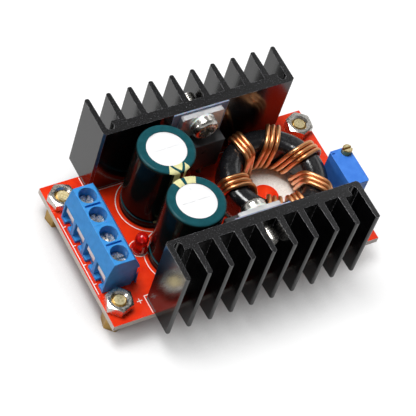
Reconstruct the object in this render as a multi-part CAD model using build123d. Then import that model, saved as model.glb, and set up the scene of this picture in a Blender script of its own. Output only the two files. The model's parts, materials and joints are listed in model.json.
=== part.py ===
from build123d import *
import math
import os

# Step-up converter module: a red circuit board on four brass standoffs, with two finned
# heatsinks, a toroidal choke, two upright capacitors, a four-pole screw terminal block,
# a multi-turn trimmer and an indicator lamp.
# Millimetres. X runs from the terminal end to the trimmer end, Y from the front heatsink
# to the back one, Z up. The origin is under the middle of the board, level with the
# bottom ends of the standoffs.

# Circuit board and its corner hardware
board_length = 65.0
board_width = 36.4
board_thickness = 1.6
corner_hole_from_end = 3.05
corner_hole_from_side = 4.5
corner_hole_radius = 1.6
standoff_height = 5.0
standoff_across_flats = 4.5
standoff_tapped_radius = 1.25
standoff_tapped_depth = 4.0
stud_radius = 1.5
stud_end_chamfer = 0.25
nut_across_flats = 5.5
nut_height = 2.4
nut_face_share = 0.9
nut_corner_slope = 0.35
nut_countersink_radius = 1.95
nut_thread_clearance = 0.05
nut_angles = [17, 40, 30, 22]
stud_below_nut_top = 0.25
lead_hole_clearance = 0.15
lead_tail = 1.4

# Heatsinks
heatsink_length = 46.1
heatsink_height = 20.5
heatsink_base = 2.35
heatsink_depth = 9.68
heatsink_to_capacitor = 0.6
fin_spacing = 5.0
fin_root = 1.5
fin_tip = 1.05
fin_tip_rounding = 0.45
end_chamfer = 0.5
channel_radius = 0.95
channel_wall = 0.9
channel_mouth = 1.7
channel_block_depth = 2.95
heatsink_pin_radius = 0.9
heatsink_pin_inside = 5.0

# Power transistor and power diode, the same moulded package
package_width = 10.0
package_body_height = 9.1
package_thickness = 4.5
package_front_bevel = 0.12
package_dimple_radius = 0.75
package_dimple_depth = 0.15
package_dimple_height = 6.55
tab_thickness = 1.3
tab_above_body = 6.6
tab_neck_width = 8.2
tab_hole_radius = 1.85
tab_hole_from_top = 2.8
tab_corner_chamfer = 0.33
body_above_board = 4.1
package_lead_pitch = 2.54
package_lead_width = 0.8
package_lead_thickness = 0.5
package_shoulder_width = 1.3
package_shoulder_length = 2.2
package_lead_setback = 2.6
package_lead_inside = 2.0
pad_thickness = 0.3
pad_width = 13.2
pad_height = 18.0
pad_below_top = 0.1
bushing_flange = 0.5
bushing_wall_clearance = 0.1
screw_radius = 1.5
screw_length = 8.0
screw_head_radius = 2.95
screw_head_height = 2.0
screw_head_rounding = 1.1
screw_end_chamfer = 0.3
screw_clearance = 0.06
recess_width = 0.9
recess_length = 3.2
recess_depth = 1.3

# Electrolytic capacitors
capacitor_radius = 6.4
capacitor_height = 20.2
capacitor_to_package = 0.55
capacitor_gap = 0.9
sleeve_thickness = 0.15
sleeve_top_opening = 4.35
sleeve_bottom_opening = 5.6
shoulder_rounding = 0.7
bead_height = 2.6
bead_depth = 0.45
seal_radius = 5.0
seal_thickness = 1.8
seal_stand = 0.35
seal_foot_length = 1.4
seal_foot_width = 1.0
seal_foot_inset = 0.5
capacitor_lead_radius = 0.35
capacitor_lead_pitch = 5.0
vent_groove_width = 0.35
vent_groove_depth = 0.06
vent_groove_length = 6.4

# Toroidal choke with three wires wound side by side
choke_to_trimmer = 1.42
core_outer_radius = 12.0
core_inner_radius = 7.0
core_height = 8.0
core_above_board = 1.4
core_rounding = 1.9
wire_radius = 0.5
wire_to_core = 0.12
wire_spacing_outside = 1.18
wire_spacing_inside = 1.2
wire_spacing_under = 1.36
wire_bend = 2.0
# Degrees round the core for each turn: at the bottom outside, at the top outside, at the top
# inside and at the bottom inside. The turns are not evenly spaced or equally slanted.
turns = [(-188, -182, -181, -146), (-127, -119, -123, -107), (-93, -86, -87, -62), (-50, -42, -33, 2),
         (12, 15, 17, 45), (59, 64, 70, 78), (96, 111, 122, 111)]

# Screw terminal block: two housings of two poles, locked side by side
pole_pitch = 5.0
terminal_from_end = 1.2
housing_depth = 8.0
housing_height = 10.0
entry_height = 5.46
front_slope_run = 1.0
top_depth = 5.7
back_slope_run = 0.55
back_slope_height = 6.8
partition_thickness = 1.0
housing_floor = 0.8
housing_back_wall = 1.7
front_wall_thickness = 0.9
floor_notch_width = 1.25
floor_notch_depth = 1.15
top_groove_width = 0.5
top_groove_length = 3.6
top_groove_depth = 0.6
dovetail_root = 0.8
dovetail_crest = 1.2
dovetail_depth = 0.5
dovetail_height = 6.0
dovetail_clearance = 0.05
screw_hole_radius = 1.95
screw_hole_from_front = 3.3
clamp_clearance = 0.05
clamp_wall = 0.6
clamp_front = 1.25
clamp_bar_bottom = 3.95
clamp_bar = 1.0
clamp_base = 0.6
clamp_pin_width = 1.0
clamp_pin_thickness = 0.8
terminal_screw_radius = 1.25
terminal_head_radius = 1.87
terminal_head_height = 1.2
terminal_head_below_top = 2.3
terminal_head_chamfer = 0.2
terminal_slot_width = 0.55
terminal_slot_depth = 0.7
terminal_slot_angles = [0, 90, 63, 63]
saddle_thickness = 0.5
saddle_front = 0.35
saddle_back_gap = 1.0
saddle_lip_height = 1.9
saddle_lip_width = 3.2
running_clearance = 0.05

# Multi-turn trimmer
trimmer_length = 9.53
trimmer_width = 4.83
trimmer_height = 10.0
trimmer_from_end = 0.55
trimmer_y = -4.65
trimmer_foot = 0.3
trimmer_foot_size = 1.1
trimmer_edge = 0.25
trimmer_nib_size = 0.6
trimmer_nib = 0.35
trimmer_screw_radius = 1.1
trimmer_screw_inset = 1.25
trimmer_screw_stand = 1.5
trimmer_screw_inside = 1.6
trimmer_slot_width = 0.5
trimmer_slot_depth = 0.6
trimmer_screw_chamfer = 0.15
trimmer_pin_radius = 0.25
trimmer_pin_pitch = 2.54

# Indicator lamp
lamp_nook = 3.771
lamp_to_capacitor = 0.12
lamp_radius = 1.45
lamp_height = 5.3
lamp_flange_radius = 1.7
lamp_flange_height = 1.0
lamp_flat = 1.5
lamp_lead_width = 0.5
lamp_lead_pitch = 2.54
lamp_lead_inside = 2.6

# Small parts soldered under the board
chip_length = 4.9
chip_width = 3.9
chip_height = 1.5
chip_stand = 0.15
chip_edge = 0.25
chip_x = -2.0
chip_y = 1.0
chip_lead_pitch = 1.27
chip_lead_width = 0.42
chip_lead_thickness = 0.2
chip_foot = 0.6
chip_lead_reach = 1.05
chip_leads_per_side = 4
shunt_length = 6.4
shunt_width = 3.2
shunt_height = 0.7
shunt_x = 4.0
shunt_y = -6.2
small_part_length = 2.0
small_part_width = 1.25
small_part_height = 0.55
small_part_edge = 0.1
small_part_places = [(-8.6, 3.6, 0), (-8.6, 1.2, 0), (-8.6, -1.2, 0), (4.2, 3.2, 90), (6.4, 3.2, 90),
                     (-3.6, -4.6, 0), (-0.6, -4.6, 0), (24.6, -3.2, 90), (22.4, -3.2, 90)]

# Places worked out from the sizes above
board_bottom = standoff_height
board_top = board_bottom + board_thickness
lead_end = board_bottom - lead_tail
corner_x = board_length / 2 - corner_hole_from_end
corner_y = board_width / 2 - corner_hole_from_side
corners = [(corner_x * i, corner_y * j) for i in (-1, 1) for j in (-1, 1)]
body_bottom = board_top + body_above_board
body_top = body_bottom + package_body_height
tab_top = body_top + tab_above_body
fixing_height = tab_top - tab_hole_from_top
capacitor_x = -(package_width / 2 + capacitor_to_package + capacitor_radius)
capacitor_y = capacitor_radius + capacitor_gap / 2
heatsink_inner_face = capacitor_y + capacitor_radius + heatsink_to_capacitor
tab_back = heatsink_inner_face - pad_thickness
tab_front = tab_back - tab_thickness
package_front = tab_back - package_thickness
package_lead_y = tab_back - package_lead_setback
screw_seat = tab_front - bushing_flange


def box_between(low, high):
    """A box given by its lowest and highest corners."""
    size = [b - a for a, b in zip(low, high)]
    middle = [(a + b) / 2 for a, b in zip(low, high)]
    return Pos(*middle) * Box(*size)


def upright(radius, low, high, x=0.0, y=0.0):
    """A vertical cylinder between two heights."""
    return Pos(x, y, (low + high) / 2) * Cylinder(radius, high - low)


def along_y(radius, low, high, x=0.0, z=0.0):
    """A cylinder that lies along Y between two values of y."""
    return Pos(x, (low + high) / 2, z) * Rot(90, 0, 0) * Cylinder(radius, high - low)


def hexagon_bar(across_flats, low, high, x, y, angle):
    """A vertical six-sided bar."""
    outline = RegularPolygon(across_flats / 2, 6, major_radius=False)
    return Pos(x, y, low) * Rot(0, 0, angle) * extrude(outline, high - low)


def turned(shape):
    """The same piece on the other side of the board, turned end for end."""
    return Rot(0, 0, 180) * shape


# Corner hardware

def standoff(x, y, angle):
    """A brass hexagon spacer: tapped from below, with a stud that passes through the board."""
    body = hexagon_bar(standoff_across_flats, 0, board_bottom, x, y, angle)
    stud_top = board_top + nut_height - stud_below_nut_top
    stud = upright(stud_radius, board_bottom, stud_top, x, y)
    stud = chamfer(stud.edges().sort_by(Axis.Z)[-1], stud_end_chamfer)
    tapped = upright(standoff_tapped_radius, 0, standoff_tapped_depth, x, y)
    return body + stud - tapped


def nut(x, y, angle):
    """A hexagon nut, turned to a cone at both faces, with a countersunk hole."""
    bar = hexagon_bar(nut_across_flats, board_top, board_top + nut_height, x, y, angle)
    corner = nut_across_flats / math.sqrt(3)
    face = nut_across_flats / 2 * nut_face_share
    rise = (corner - face) * nut_corner_slope
    hole = stud_radius + nut_thread_clearance
    sink = nut_countersink_radius - hole
    outline = Polyline((hole, sink), (nut_countersink_radius, 0), (face, 0), (corner, rise),
                       (corner, nut_height - rise), (face, nut_height), (nut_countersink_radius, nut_height),
                       (hole, nut_height - sink), close=True)
    return bar & Pos(x, y, board_top) * revolve(Plane.XZ * make_face(outline), Axis.Z)


# Heatsinks

fins_per_side = round((heatsink_length - fin_tip) / (2 * fin_spacing) + 0.5)
fin_pitch = (heatsink_length - fin_tip) / (2 * fins_per_side - 1)
end_fin = (fins_per_side - 0.5) * fin_pitch
pin_x = end_fin - fin_root / 2 - channel_radius
pin_y = heatsink_inner_face + channel_wall + channel_radius


def heatsink_profile():
    """The extruded section: a base, straight tapered fins and an open pin channel by each end fin."""
    fin_length = heatsink_depth - heatsink_base
    flank = math.degrees(math.atan2(fin_length, (fin_root - fin_tip) / 2))
    fin = Trapezoid(fin_root, fin_length, flank)
    fin = fillet(fin.vertices().group_by(Axis.Y)[-1], fin_tip_rounding)
    profile = Pos(0, heatsink_base / 2) * Rectangle(heatsink_length, heatsink_base)
    for i in range(2 * fins_per_side):
        profile += Pos(i * fin_pitch - end_fin, heatsink_base + fin_length / 2) * fin
    profile &= Pos(0, heatsink_depth / 2) * Rectangle(heatsink_length, heatsink_depth)
    centre_y = channel_wall + channel_radius
    for side in (-1, 1):
        block = pin_x - (end_fin - fin_pitch)
        block_place = Pos(side * (pin_x - block / 2), channel_block_depth / 2)
        profile += block_place * Rectangle(block, channel_block_depth)
        profile -= Pos(side * pin_x, centre_y) * Circle(channel_radius)
        mouth = heatsink_base + channel_block_depth - centre_y
        profile -= Pos(side * pin_x, centre_y + mouth / 2) * Rectangle(channel_mouth, mouth)
        corner_cut = end_chamfer * math.sqrt(2)
        profile -= Pos(side * heatsink_length / 2, 0) * Rot(0, 0, 45) * Rectangle(corner_cut, corner_cut)
    return profile


def heatsink():
    """The back heatsink, which stands on the board with its fins towards +Y."""
    body = Pos(0, heatsink_inner_face, board_top) * extrude(heatsink_profile(), heatsink_height)
    tapped = along_y(screw_radius + screw_clearance, heatsink_inner_face - 1, screw_seat + screw_length + 1,
                     0, fixing_height)
    return body - tapped


def heatsink_pins():
    """Two tinned pins, pressed into the channels and soldered into the board."""
    return [upright(heatsink_pin_radius, lead_end, board_top + heatsink_pin_inside, side * pin_x, pin_y)
            for side in (-1, 1)]


# Power packages

def package_lead(x):
    """One flat lead: a wide shoulder under the body, then the narrow part through the board."""
    shoulder_bottom = body_bottom - package_shoulder_length
    half = package_lead_thickness / 2
    narrow = box_between((x - package_lead_width / 2, package_lead_y - half, lead_end),
                         (x + package_lead_width / 2, package_lead_y + half, shoulder_bottom))
    lead_top = body_bottom + package_lead_inside
    wide = box_between((x - package_shoulder_width / 2, package_lead_y - half, shoulder_bottom),
                       (x + package_shoulder_width / 2, package_lead_y + half, lead_top))
    return narrow + wide


def package_outer_leads():
    return [package_lead(side * package_lead_pitch) for side in (-1, 1)]


def package_tab():
    """The copper tab with its fixing hole and bevelled top corners, in one piece with the middle lead."""
    plate = box_between((-package_width / 2, tab_front, body_top), (package_width / 2, tab_back, tab_top))
    neck = box_between((-tab_neck_width / 2, tab_front, body_bottom + tab_thickness),
                       (tab_neck_width / 2, tab_back, body_top))
    link = box_between((-package_shoulder_width / 2, package_lead_y - package_lead_thickness / 2,
                        body_bottom + tab_thickness),
                       (package_shoulder_width / 2, tab_front, body_bottom + package_lead_inside))
    hole = along_y(tab_hole_radius, tab_front - 1, tab_back + 1, 0, fixing_height)
    plate = chamfer(plate.edges().filter_by(Axis.Y).group_by(Axis.Z)[-1], tab_corner_chamfer)
    return plate + neck + link + package_lead(0) - hole


def package_body():
    """The black moulding, bevelled round its front, moulded round the tab's neck and the leads."""
    body = box_between((-package_width / 2, package_front, body_bottom),
                       (package_width / 2, tab_back, body_top))
    body = chamfer(body.faces().sort_by(Axis.Y)[0].edges(), package_front_bevel)
    dimple = along_y(package_dimple_radius, package_front, package_front + package_dimple_depth, 0,
                     body_bottom + package_dimple_height)
    body = body - package_tab() - dimple
    for lead in package_outer_leads():
        body -= lead
    return body


def pad():
    """The soft insulating pad between the tab and the heatsink, with a hole for the screw."""
    top = board_top + heatsink_height - pad_below_top
    sheet = box_between((-pad_width / 2, tab_back, top - pad_height),
                        (pad_width / 2, heatsink_inner_face, top))
    return sheet - along_y(tab_hole_radius, tab_back - 1, heatsink_inner_face + 1, 0, fixing_height)


def bushing():
    """The insulating bushing: a flange between the head and the tab and a sleeve in the tab's hole."""
    flange = along_y(screw_head_radius, screw_seat, tab_front, 0, fixing_height)
    sleeve = along_y(tab_hole_radius - bushing_wall_clearance, tab_front, tab_back, 0, fixing_height)
    bore = along_y(screw_radius + screw_clearance, screw_seat - 1, tab_back + 1, 0, fixing_height)
    return flange + sleeve - bore


def screw():
    """A pan-head screw with a cross recess; its end stands out between two fins."""
    head = along_y(screw_head_radius, screw_seat - screw_head_height, screw_seat, 0, fixing_height)
    head = fillet(head.edges().sort_by(Axis.Y)[0], screw_head_rounding)
    shank = along_y(screw_radius, screw_seat, screw_seat + screw_length, 0, fixing_height)
    shank = chamfer(shank.edges().sort_by(Axis.Y)[-1], screw_end_chamfer)
    recess = Pos(0, screw_seat - screw_head_height, fixing_height)
    cross = Box(recess_length, 2 * recess_depth, recess_width)
    cross += Box(recess_width, 2 * recess_depth, recess_length)
    return head + shank - recess * cross


# Capacitors

def can_side(inset):
    """The can's outline from the foot of its bead to the edge of its flat top, moved in by an inset."""
    radius = capacitor_radius - inset
    top = capacitor_height - inset
    rounding = shoulder_rounding - inset
    bead = ThreePointArc((radius, bead_height - bead_depth), (radius - bead_depth, bead_height),
                         (radius, bead_height + bead_depth))
    wall = Line(bead @ 1, (radius, top - rounding))
    shoulder = RadiusArc(wall @ 1, (radius - rounding, top), -rounding)
    return [bead, wall, shoulder]


def capacitor_can(x, y):
    """The aluminium can with its winding inside, one closed solid with a scored vent on top."""
    side = can_side(sleeve_thickness)
    seal_top = seal_stand + seal_thickness
    cap = Polyline(side[-1] @ 1, (0, capacitor_height - sleeve_thickness), (0, seal_top),
                   (seal_radius, seal_top), (seal_radius, seal_stand),
                   (capacitor_radius - sleeve_thickness, seal_stand), side[0] @ 0)
    can = revolve(Plane.XZ * make_face(side + [cap]), Axis.Z)
    groove_low = capacitor_height - sleeve_thickness - vent_groove_depth
    groove = box_between((-vent_groove_length / 2, -vent_groove_width / 2, groove_low),
                         (vent_groove_length / 2, vent_groove_width / 2, groove_low + 1))
    for angle in (0, 90):
        can -= Rot(0, 0, angle) * groove
    return Pos(x, y, board_top) * can


def capacitor_sleeve(x, y):
    """The shrunk plastic sleeve: it follows the can and laps over its top and bottom rims."""
    outer = can_side(0)
    inner = can_side(sleeve_thickness)
    top_lap = Polyline(outer[-1] @ 1, (sleeve_top_opening, capacitor_height),
                       (sleeve_top_opening, capacitor_height - sleeve_thickness), inner[-1] @ 1)
    bottom_lap = Polyline(outer[0] @ 0, (capacitor_radius, seal_stand - sleeve_thickness),
                          (sleeve_bottom_opening, seal_stand - sleeve_thickness),
                          (sleeve_bottom_opening, seal_stand),
                          (capacitor_radius - sleeve_thickness, seal_stand), inner[0] @ 0)
    section = Plane.XZ * make_face(outer + [top_lap] + inner + [bottom_lap])
    return Pos(x, y, board_top) * revolve(section, Axis.Z)


def capacitor_seal(x, y):
    """The rubber plug in the can's mouth, with feet that stand on the board."""
    plug = upright(seal_radius, seal_stand, seal_stand + seal_thickness)
    for angle in range(45, 360, 90):
        foot = Pos(seal_radius - seal_foot_inset - seal_foot_length / 2, 0, seal_stand / 2)
        plug += Rot(0, 0, angle) * foot * Box(seal_foot_length, seal_foot_width, seal_stand)
    for side in (-1, 1):
        plug -= upright(capacitor_lead_radius, 0, seal_stand + seal_thickness,
                        side * capacitor_lead_pitch / 2)
    return Pos(x, y, board_top) * plug


def capacitor_leads(x, y):
    return [upright(capacitor_lead_radius, lead_end, board_top + seal_stand + seal_thickness,
                    x + side * capacitor_lead_pitch / 2, y) for side in (-1, 1)]


# Choke

trimmer_x = board_length / 2 - trimmer_from_end - trimmer_width / 2
choke_x = trimmer_x - trimmer_width / 2 - choke_to_trimmer - core_outer_radius
core_bottom = board_top + core_above_board
core_top = core_bottom + core_height
wire_offset = wire_radius + wire_to_core
wire_outside = core_outer_radius + wire_offset
wire_inside = core_inner_radius - wire_offset
wire_over = core_top + wire_offset
wire_under = core_bottom - wire_offset


def choke_core():
    """A pressed-powder ring with a thick rounded coating."""
    ring = upright(core_outer_radius, core_bottom, core_top)
    ring -= upright(core_inner_radius, core_bottom, core_top)
    return Pos(choke_x, 0, 0) * fillet(ring.edges().filter_by(GeomType.CIRCLE), core_rounding)


def round_the_core(radius, angle, z):
    a = math.radians(angle)
    return (choke_x + radius * math.cos(a), radius * math.sin(a), z)


def wire_route(strand):
    """The bends of one wire: up outside, over the core, down the hole on a slant and out below."""
    outside = math.degrees(strand * wire_spacing_outside / wire_outside)
    inside = math.degrees(strand * wire_spacing_inside / wire_inside)
    under = math.degrees(strand * wire_spacing_under / wire_inside)
    route = [round_the_core(wire_outside, turns[0][0] + outside, lead_end)]
    for bottom_outside, top_outside, top_inside, bottom_inside in turns:
        route.append(round_the_core(wire_outside, bottom_outside + outside, wire_under))
        route.append(round_the_core(wire_outside, top_outside + outside, wire_over))
        route.append(round_the_core(wire_inside, top_inside + inside, wire_over))
        route.append(round_the_core(wire_inside, bottom_inside + under, wire_under))
    route.append(round_the_core(wire_inside, turns[-1][3] + under, lead_end))
    return route


def choke_wire(strand):
    """One enamelled copper wire, wound through the ring once for each turn."""
    route = wire_route(strand)
    bends = [wire_bend / 2] + [wire_bend] * (len(route) - 4) + [wire_bend / 2]
    path = FilletPolyline(*route, radius=bends)
    section = Plane(origin=path @ 0, z_dir=path % 0) * RegularPolygon(wire_radius, 8)
    return sweep(section, path=path)


# Terminal block

block_front = -board_length / 2 + terminal_from_end
screw_x = block_front + screw_hole_from_front
poles = [(-1.5 + i) * pole_pitch for i in range(4)]
chamber_half = (pole_pitch - partition_thickness) / 2
clamp_bar_top = clamp_bar_bottom + clamp_bar
chamber_height = clamp_bar_top + clamp_clearance
saddle_top = clamp_bar_bottom - running_clearance
saddle_bottom = saddle_top - saddle_thickness
head_top = housing_height - terminal_head_below_top
head_bottom = head_top - terminal_head_height


def housing(middle):
    """A two-pole housing with its wire entries, screw holes, floor notches and dovetails."""
    side = Polyline((0, 0), (0, entry_height), (front_slope_run, housing_height), (top_depth, housing_height),
                    (housing_depth - back_slope_run, back_slope_height), (housing_depth, 0), close=True)
    body = Plane.XZ * extrude(make_face(side), pole_pitch, both=True)
    for offset in (-pole_pitch / 2, pole_pitch / 2):
        low = offset - chamber_half
        high = offset + chamber_half
        body -= box_between((-1, low, housing_floor), (front_wall_thickness, high, entry_height))
        body -= box_between((front_wall_thickness, low, housing_floor),
                            (housing_depth - housing_back_wall, high, chamber_height))
        body -= upright(screw_hole_radius, chamber_height - 1, housing_height + 1, screw_hole_from_front,
                        offset)
        body -= box_between((-1, offset - floor_notch_width / 2, -1),
                            (floor_notch_depth, offset + floor_notch_width / 2, housing_floor))
        body -= box_between((screw_hole_from_front - clamp_pin_width / 2 - clamp_clearance,
                             offset - clamp_pin_thickness / 2 - clamp_clearance, -1),
                            (screw_hole_from_front + clamp_pin_width / 2 + clamp_clearance,
                             offset + clamp_pin_thickness / 2 + clamp_clearance, housing_floor))
    body -= box_between((screw_hole_from_front - top_groove_length / 2, -top_groove_width / 2,
                         housing_height - top_groove_depth),
                        (screw_hole_from_front + top_groove_length / 2, top_groove_width / 2,
                         housing_height + 1))
    body += Pos(0, pole_pitch, 0) * dovetail(0)
    body -= Pos(0, -pole_pitch, 0) * dovetail(dovetail_clearance)
    return Pos(block_front, middle, board_top) * body


def dovetail(clearance):
    """The upright dovetail behind the chambers: a rib at no clearance, a groove with some."""
    x = housing_depth - housing_back_wall / 2
    root = dovetail_root / 2 + clearance
    crest = dovetail_crest / 2 + clearance
    reach = dovetail_depth + clearance
    outline = Polyline((x - root, 0), (x + root, 0), (x + crest, reach), (x - crest, reach), close=True)
    return extrude(make_face(outline), dovetail_height + clearance)


def clamp_body(y):
    """The tinned clamp: a frame with a tapped bar above the wire, and a solder pin."""
    half = chamber_half - clamp_clearance
    back = housing_depth - housing_back_wall - clamp_clearance
    base_low = housing_floor + clamp_clearance
    frame = box_between((clamp_front, -half, base_low), (back, half, clamp_bar_top))
    frame -= box_between((clamp_front - 1, -half + clamp_wall, base_low + clamp_base),
                         (back + 1, half - clamp_wall, clamp_bar_bottom))
    frame -= upright(terminal_screw_radius + running_clearance, clamp_bar_bottom - 1, clamp_bar_top + 1,
                     screw_hole_from_front)
    pin = box_between((screw_hole_from_front - clamp_pin_width / 2, -clamp_pin_thickness / 2,
                       lead_end - board_top),
                      (screw_hole_from_front + clamp_pin_width / 2, clamp_pin_thickness / 2, base_low))
    return Pos(block_front, y, board_top) * (frame + pin)


def wire_saddle(y):
    """The bent plate that the screw pushes down on the wire; its upright lip shows in the wire entry."""
    inner_half = chamber_half - clamp_clearance - clamp_wall - running_clearance
    back = housing_depth - housing_back_wall - saddle_back_gap
    plate = box_between((saddle_front, -inner_half, saddle_bottom), (back, inner_half, saddle_top))
    lip = box_between((saddle_front, -saddle_lip_width / 2, saddle_bottom),
                      (saddle_front + saddle_thickness, saddle_lip_width / 2,
                       saddle_bottom + saddle_lip_height))
    return Pos(block_front, y, board_top) * (plate + lip)


def terminal_screw(y, slot_angle):
    """A slotted cheese-head screw whose tip rests on the saddle."""
    head = upright(terminal_head_radius, head_bottom, head_top)
    head = chamfer(head.edges().sort_by(Axis.Z)[-1], terminal_head_chamfer)
    shank = upright(terminal_screw_radius, saddle_top + running_clearance, head_bottom)
    slot = Rot(0, 0, slot_angle) * Pos(0, 0, head_top) * Box(2.2 * terminal_head_radius, terminal_slot_width,
                                                            2 * terminal_slot_depth)
    return Pos(screw_x, y, board_top) * (head + shank - slot)


# Trimmer

trimmer_top = board_top + trimmer_foot + trimmer_height
trimmer_screw_x = trimmer_x + trimmer_width / 2 - trimmer_screw_inset
trimmer_screw_y = trimmer_y + trimmer_length / 2 - trimmer_screw_inset


def trimmer_body():
    """The sealed blue case on four feet, with a bore for the adjusting screw."""
    case_bottom = board_top + trimmer_foot
    case = Pos(trimmer_x, trimmer_y, case_bottom + trimmer_height / 2) * Box(trimmer_width, trimmer_length,
                                                                            trimmer_height)
    case = chamfer(case.edges().filter_by(Axis.Z), trimmer_edge)
    for i in (-1, 1):
        for j in (-1, 1):
            foot_x = trimmer_x + i * (trimmer_width - trimmer_foot_size - 2 * trimmer_edge) / 2
            foot_y = trimmer_y + j * (trimmer_length - trimmer_foot_size - 2 * trimmer_edge) / 2
            foot = Box(trimmer_foot_size, trimmer_foot_size, trimmer_foot)
            case += Pos(foot_x, foot_y, board_top + trimmer_foot / 2) * foot
    nib_x = trimmer_x - trimmer_width / 2 + trimmer_edge + trimmer_nib_size / 2
    nib_y = trimmer_y + trimmer_length / 2 - trimmer_edge - trimmer_nib_size / 2
    nib = Box(trimmer_nib_size, trimmer_nib_size, trimmer_nib)
    case += Pos(nib_x, nib_y, trimmer_top + trimmer_nib / 2) * nib
    case -= upright(trimmer_screw_radius + running_clearance, trimmer_top - trimmer_screw_inside,
                    trimmer_top + 1, trimmer_screw_x, trimmer_screw_y)
    return case


def trimmer_screw():
    """The slotted brass adjusting screw, which turns in the case without end stops."""
    top = trimmer_top + trimmer_screw_stand
    shaft = upright(trimmer_screw_radius, trimmer_top - trimmer_screw_inside + running_clearance, top)
    shaft = chamfer(shaft.edges().sort_by(Axis.Z)[-1], trimmer_screw_chamfer)
    slot = Pos(0, 0, top) * Box(3 * trimmer_screw_radius, trimmer_slot_width, 2 * trimmer_slot_depth)
    return Pos(trimmer_screw_x, trimmer_screw_y, 0) * (shaft - slot)


def trimmer_pins():
    return [upright(trimmer_pin_radius, lead_end, board_top + trimmer_foot, trimmer_x,
                    trimmer_y + i * trimmer_pin_pitch) for i in (-1, 0, 1)]


# Indicator lamp

# The lamp stands close beside the front capacitor. The nearer the terminal block comes, the
# further round the capacitor it stands, towards the nook between the two capacitors.
block_back = block_front + housing_depth
lamp_reach = capacitor_radius + lamp_to_capacitor + lamp_flange_radius
lamp_room = capacitor_x - capacitor_radius + lamp_flange_radius - block_back
lamp_side = math.atan2(lamp_nook, lamp_room)
lamp_x = capacitor_x - lamp_reach * math.cos(lamp_side)
lamp_y = lamp_reach * math.sin(lamp_side) - capacitor_y


def lamp_leads():
    height = board_top + lamp_lead_inside - lead_end
    lead = Box(lamp_lead_width, lamp_lead_width, height)
    return [Pos(lamp_x, lamp_y + side * lamp_lead_pitch / 2, lead_end + height / 2) * lead
            for side in (-1, 1)]


def lamp_lens():
    """The red lens: a flange with one flat, a round body and a domed end."""
    lens = upright(lamp_flange_radius, board_top, board_top + lamp_flange_height, lamp_x, lamp_y)
    wide = 2 * lamp_flange_radius
    lens &= box_between((lamp_x - wide, lamp_y - lamp_flat, board_top),
                        (lamp_x + wide, lamp_y + wide, board_top + lamp_height))
    dome_centre = board_top + lamp_height - lamp_radius
    lens += upright(lamp_radius, board_top, dome_centre, lamp_x, lamp_y)
    lens += Pos(lamp_x, lamp_y, dome_centre) * Sphere(lamp_radius)
    for lead in lamp_leads():
        lens -= lead
    return lens


# Parts under the board

def chip_body():
    top = board_bottom - chip_stand
    body = box_between((chip_x - chip_length / 2, chip_y - chip_width / 2, top - chip_height),
                       (chip_x + chip_length / 2, chip_y + chip_width / 2, top))
    return chamfer(body.edges().group_by(Axis.Z)[0], chip_edge)


def chip_leads():
    """Gull-wing leads: out of the body's side, up to the board and a flat foot on it."""
    middle = board_bottom - chip_stand - chip_height / 2
    t = chip_lead_thickness
    reach = chip_lead_reach
    outline = Polyline((0, middle - t / 2), (reach - chip_foot + t, middle - t / 2),
                       (reach - chip_foot + t, board_bottom - t), (reach, board_bottom - t),
                       (reach, board_bottom), (reach - chip_foot, board_bottom),
                       (reach - chip_foot, middle + t / 2), (0, middle + t / 2), close=True)
    lead = Plane.YZ * extrude(make_face(outline), chip_lead_width / 2, both=True)
    leads = []
    for side, turn in ((1, 0), (-1, 180)):
        for i in range(chip_leads_per_side):
            along = (i - (chip_leads_per_side - 1) / 2) * chip_lead_pitch
            leads.append(Pos(chip_x + along, chip_y + side * chip_width / 2, 0) * Rot(0, 0, turn) * lead)
    return leads


def under_board_box(x, y, angle, length, width, height):
    block = Pos(x, y, board_bottom - height / 2) * Rot(0, 0, angle) * Box(length, width, height)
    return chamfer(block.edges().filter_by(Axis.Z), small_part_edge)


# The board itself comes last, because its holes follow the leads

def board():
    """The drilled board: corner holes and a clearance hole for each lead that is soldered in."""
    plate = Pos(0, 0, (board_bottom + board_top) / 2) * Box(board_length, board_width, board_thickness)
    holes = [(x, y, corner_hole_radius) for x, y in corners]
    flat_lead = math.hypot(package_lead_width, package_lead_thickness) / 2
    for side in (-1, 1):
        holes += [(capacitor_x + i * capacitor_lead_pitch / 2, side * capacitor_y, capacitor_lead_radius)
                  for i in (-1, 1)]
        holes += [(i * pin_x, side * pin_y, heatsink_pin_radius) for i in (-1, 1)]
        holes += [(i * package_lead_pitch, side * package_lead_y, flat_lead) for i in (-1, 0, 1)]
        holes += [(lamp_x, lamp_y + side * lamp_lead_pitch / 2, lamp_lead_width / math.sqrt(2))]
    for strand in (-1, 0, 1):
        for end in (0, -1):
            x, y, z = wire_route(strand)[end]
            holes.append((x, y, wire_radius - lead_hole_clearance / 2))
    holes += [(screw_x, y, math.hypot(clamp_pin_width, clamp_pin_thickness) / 2) for y in poles]
    holes += [(trimmer_x, trimmer_y + i * trimmer_pin_pitch, trimmer_pin_radius) for i in (-1, 0, 1)]
    for x, y, radius in holes:
        clearance = 0 if radius == corner_hole_radius else lead_hole_clearance
        plate -= upright(radius + clearance, board_bottom - 1, board_top + 1, x, y)
    return plate


# Every piece by its node's name

def both_sides(name, shape):
    """A piece on the back heatsink's side and its twin on the front one's."""
    return {f"{name}_back": shape, f"{name}_front": turned(shape)}


def group(solids):
    return Compound([s.solid() for s in solids])


pieces = {"board": board()}
corner_names = ("front_left", "back_left", "front_right", "back_right")
for (x, y), angle, place in zip(corners, nut_angles, corner_names):
    pieces[f"standoff_{place}"] = standoff(x, y, angle)
pieces["corner_nuts"] = group([nut(x, y, angle) for (x, y), angle in zip(corners, nut_angles)])

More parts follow.
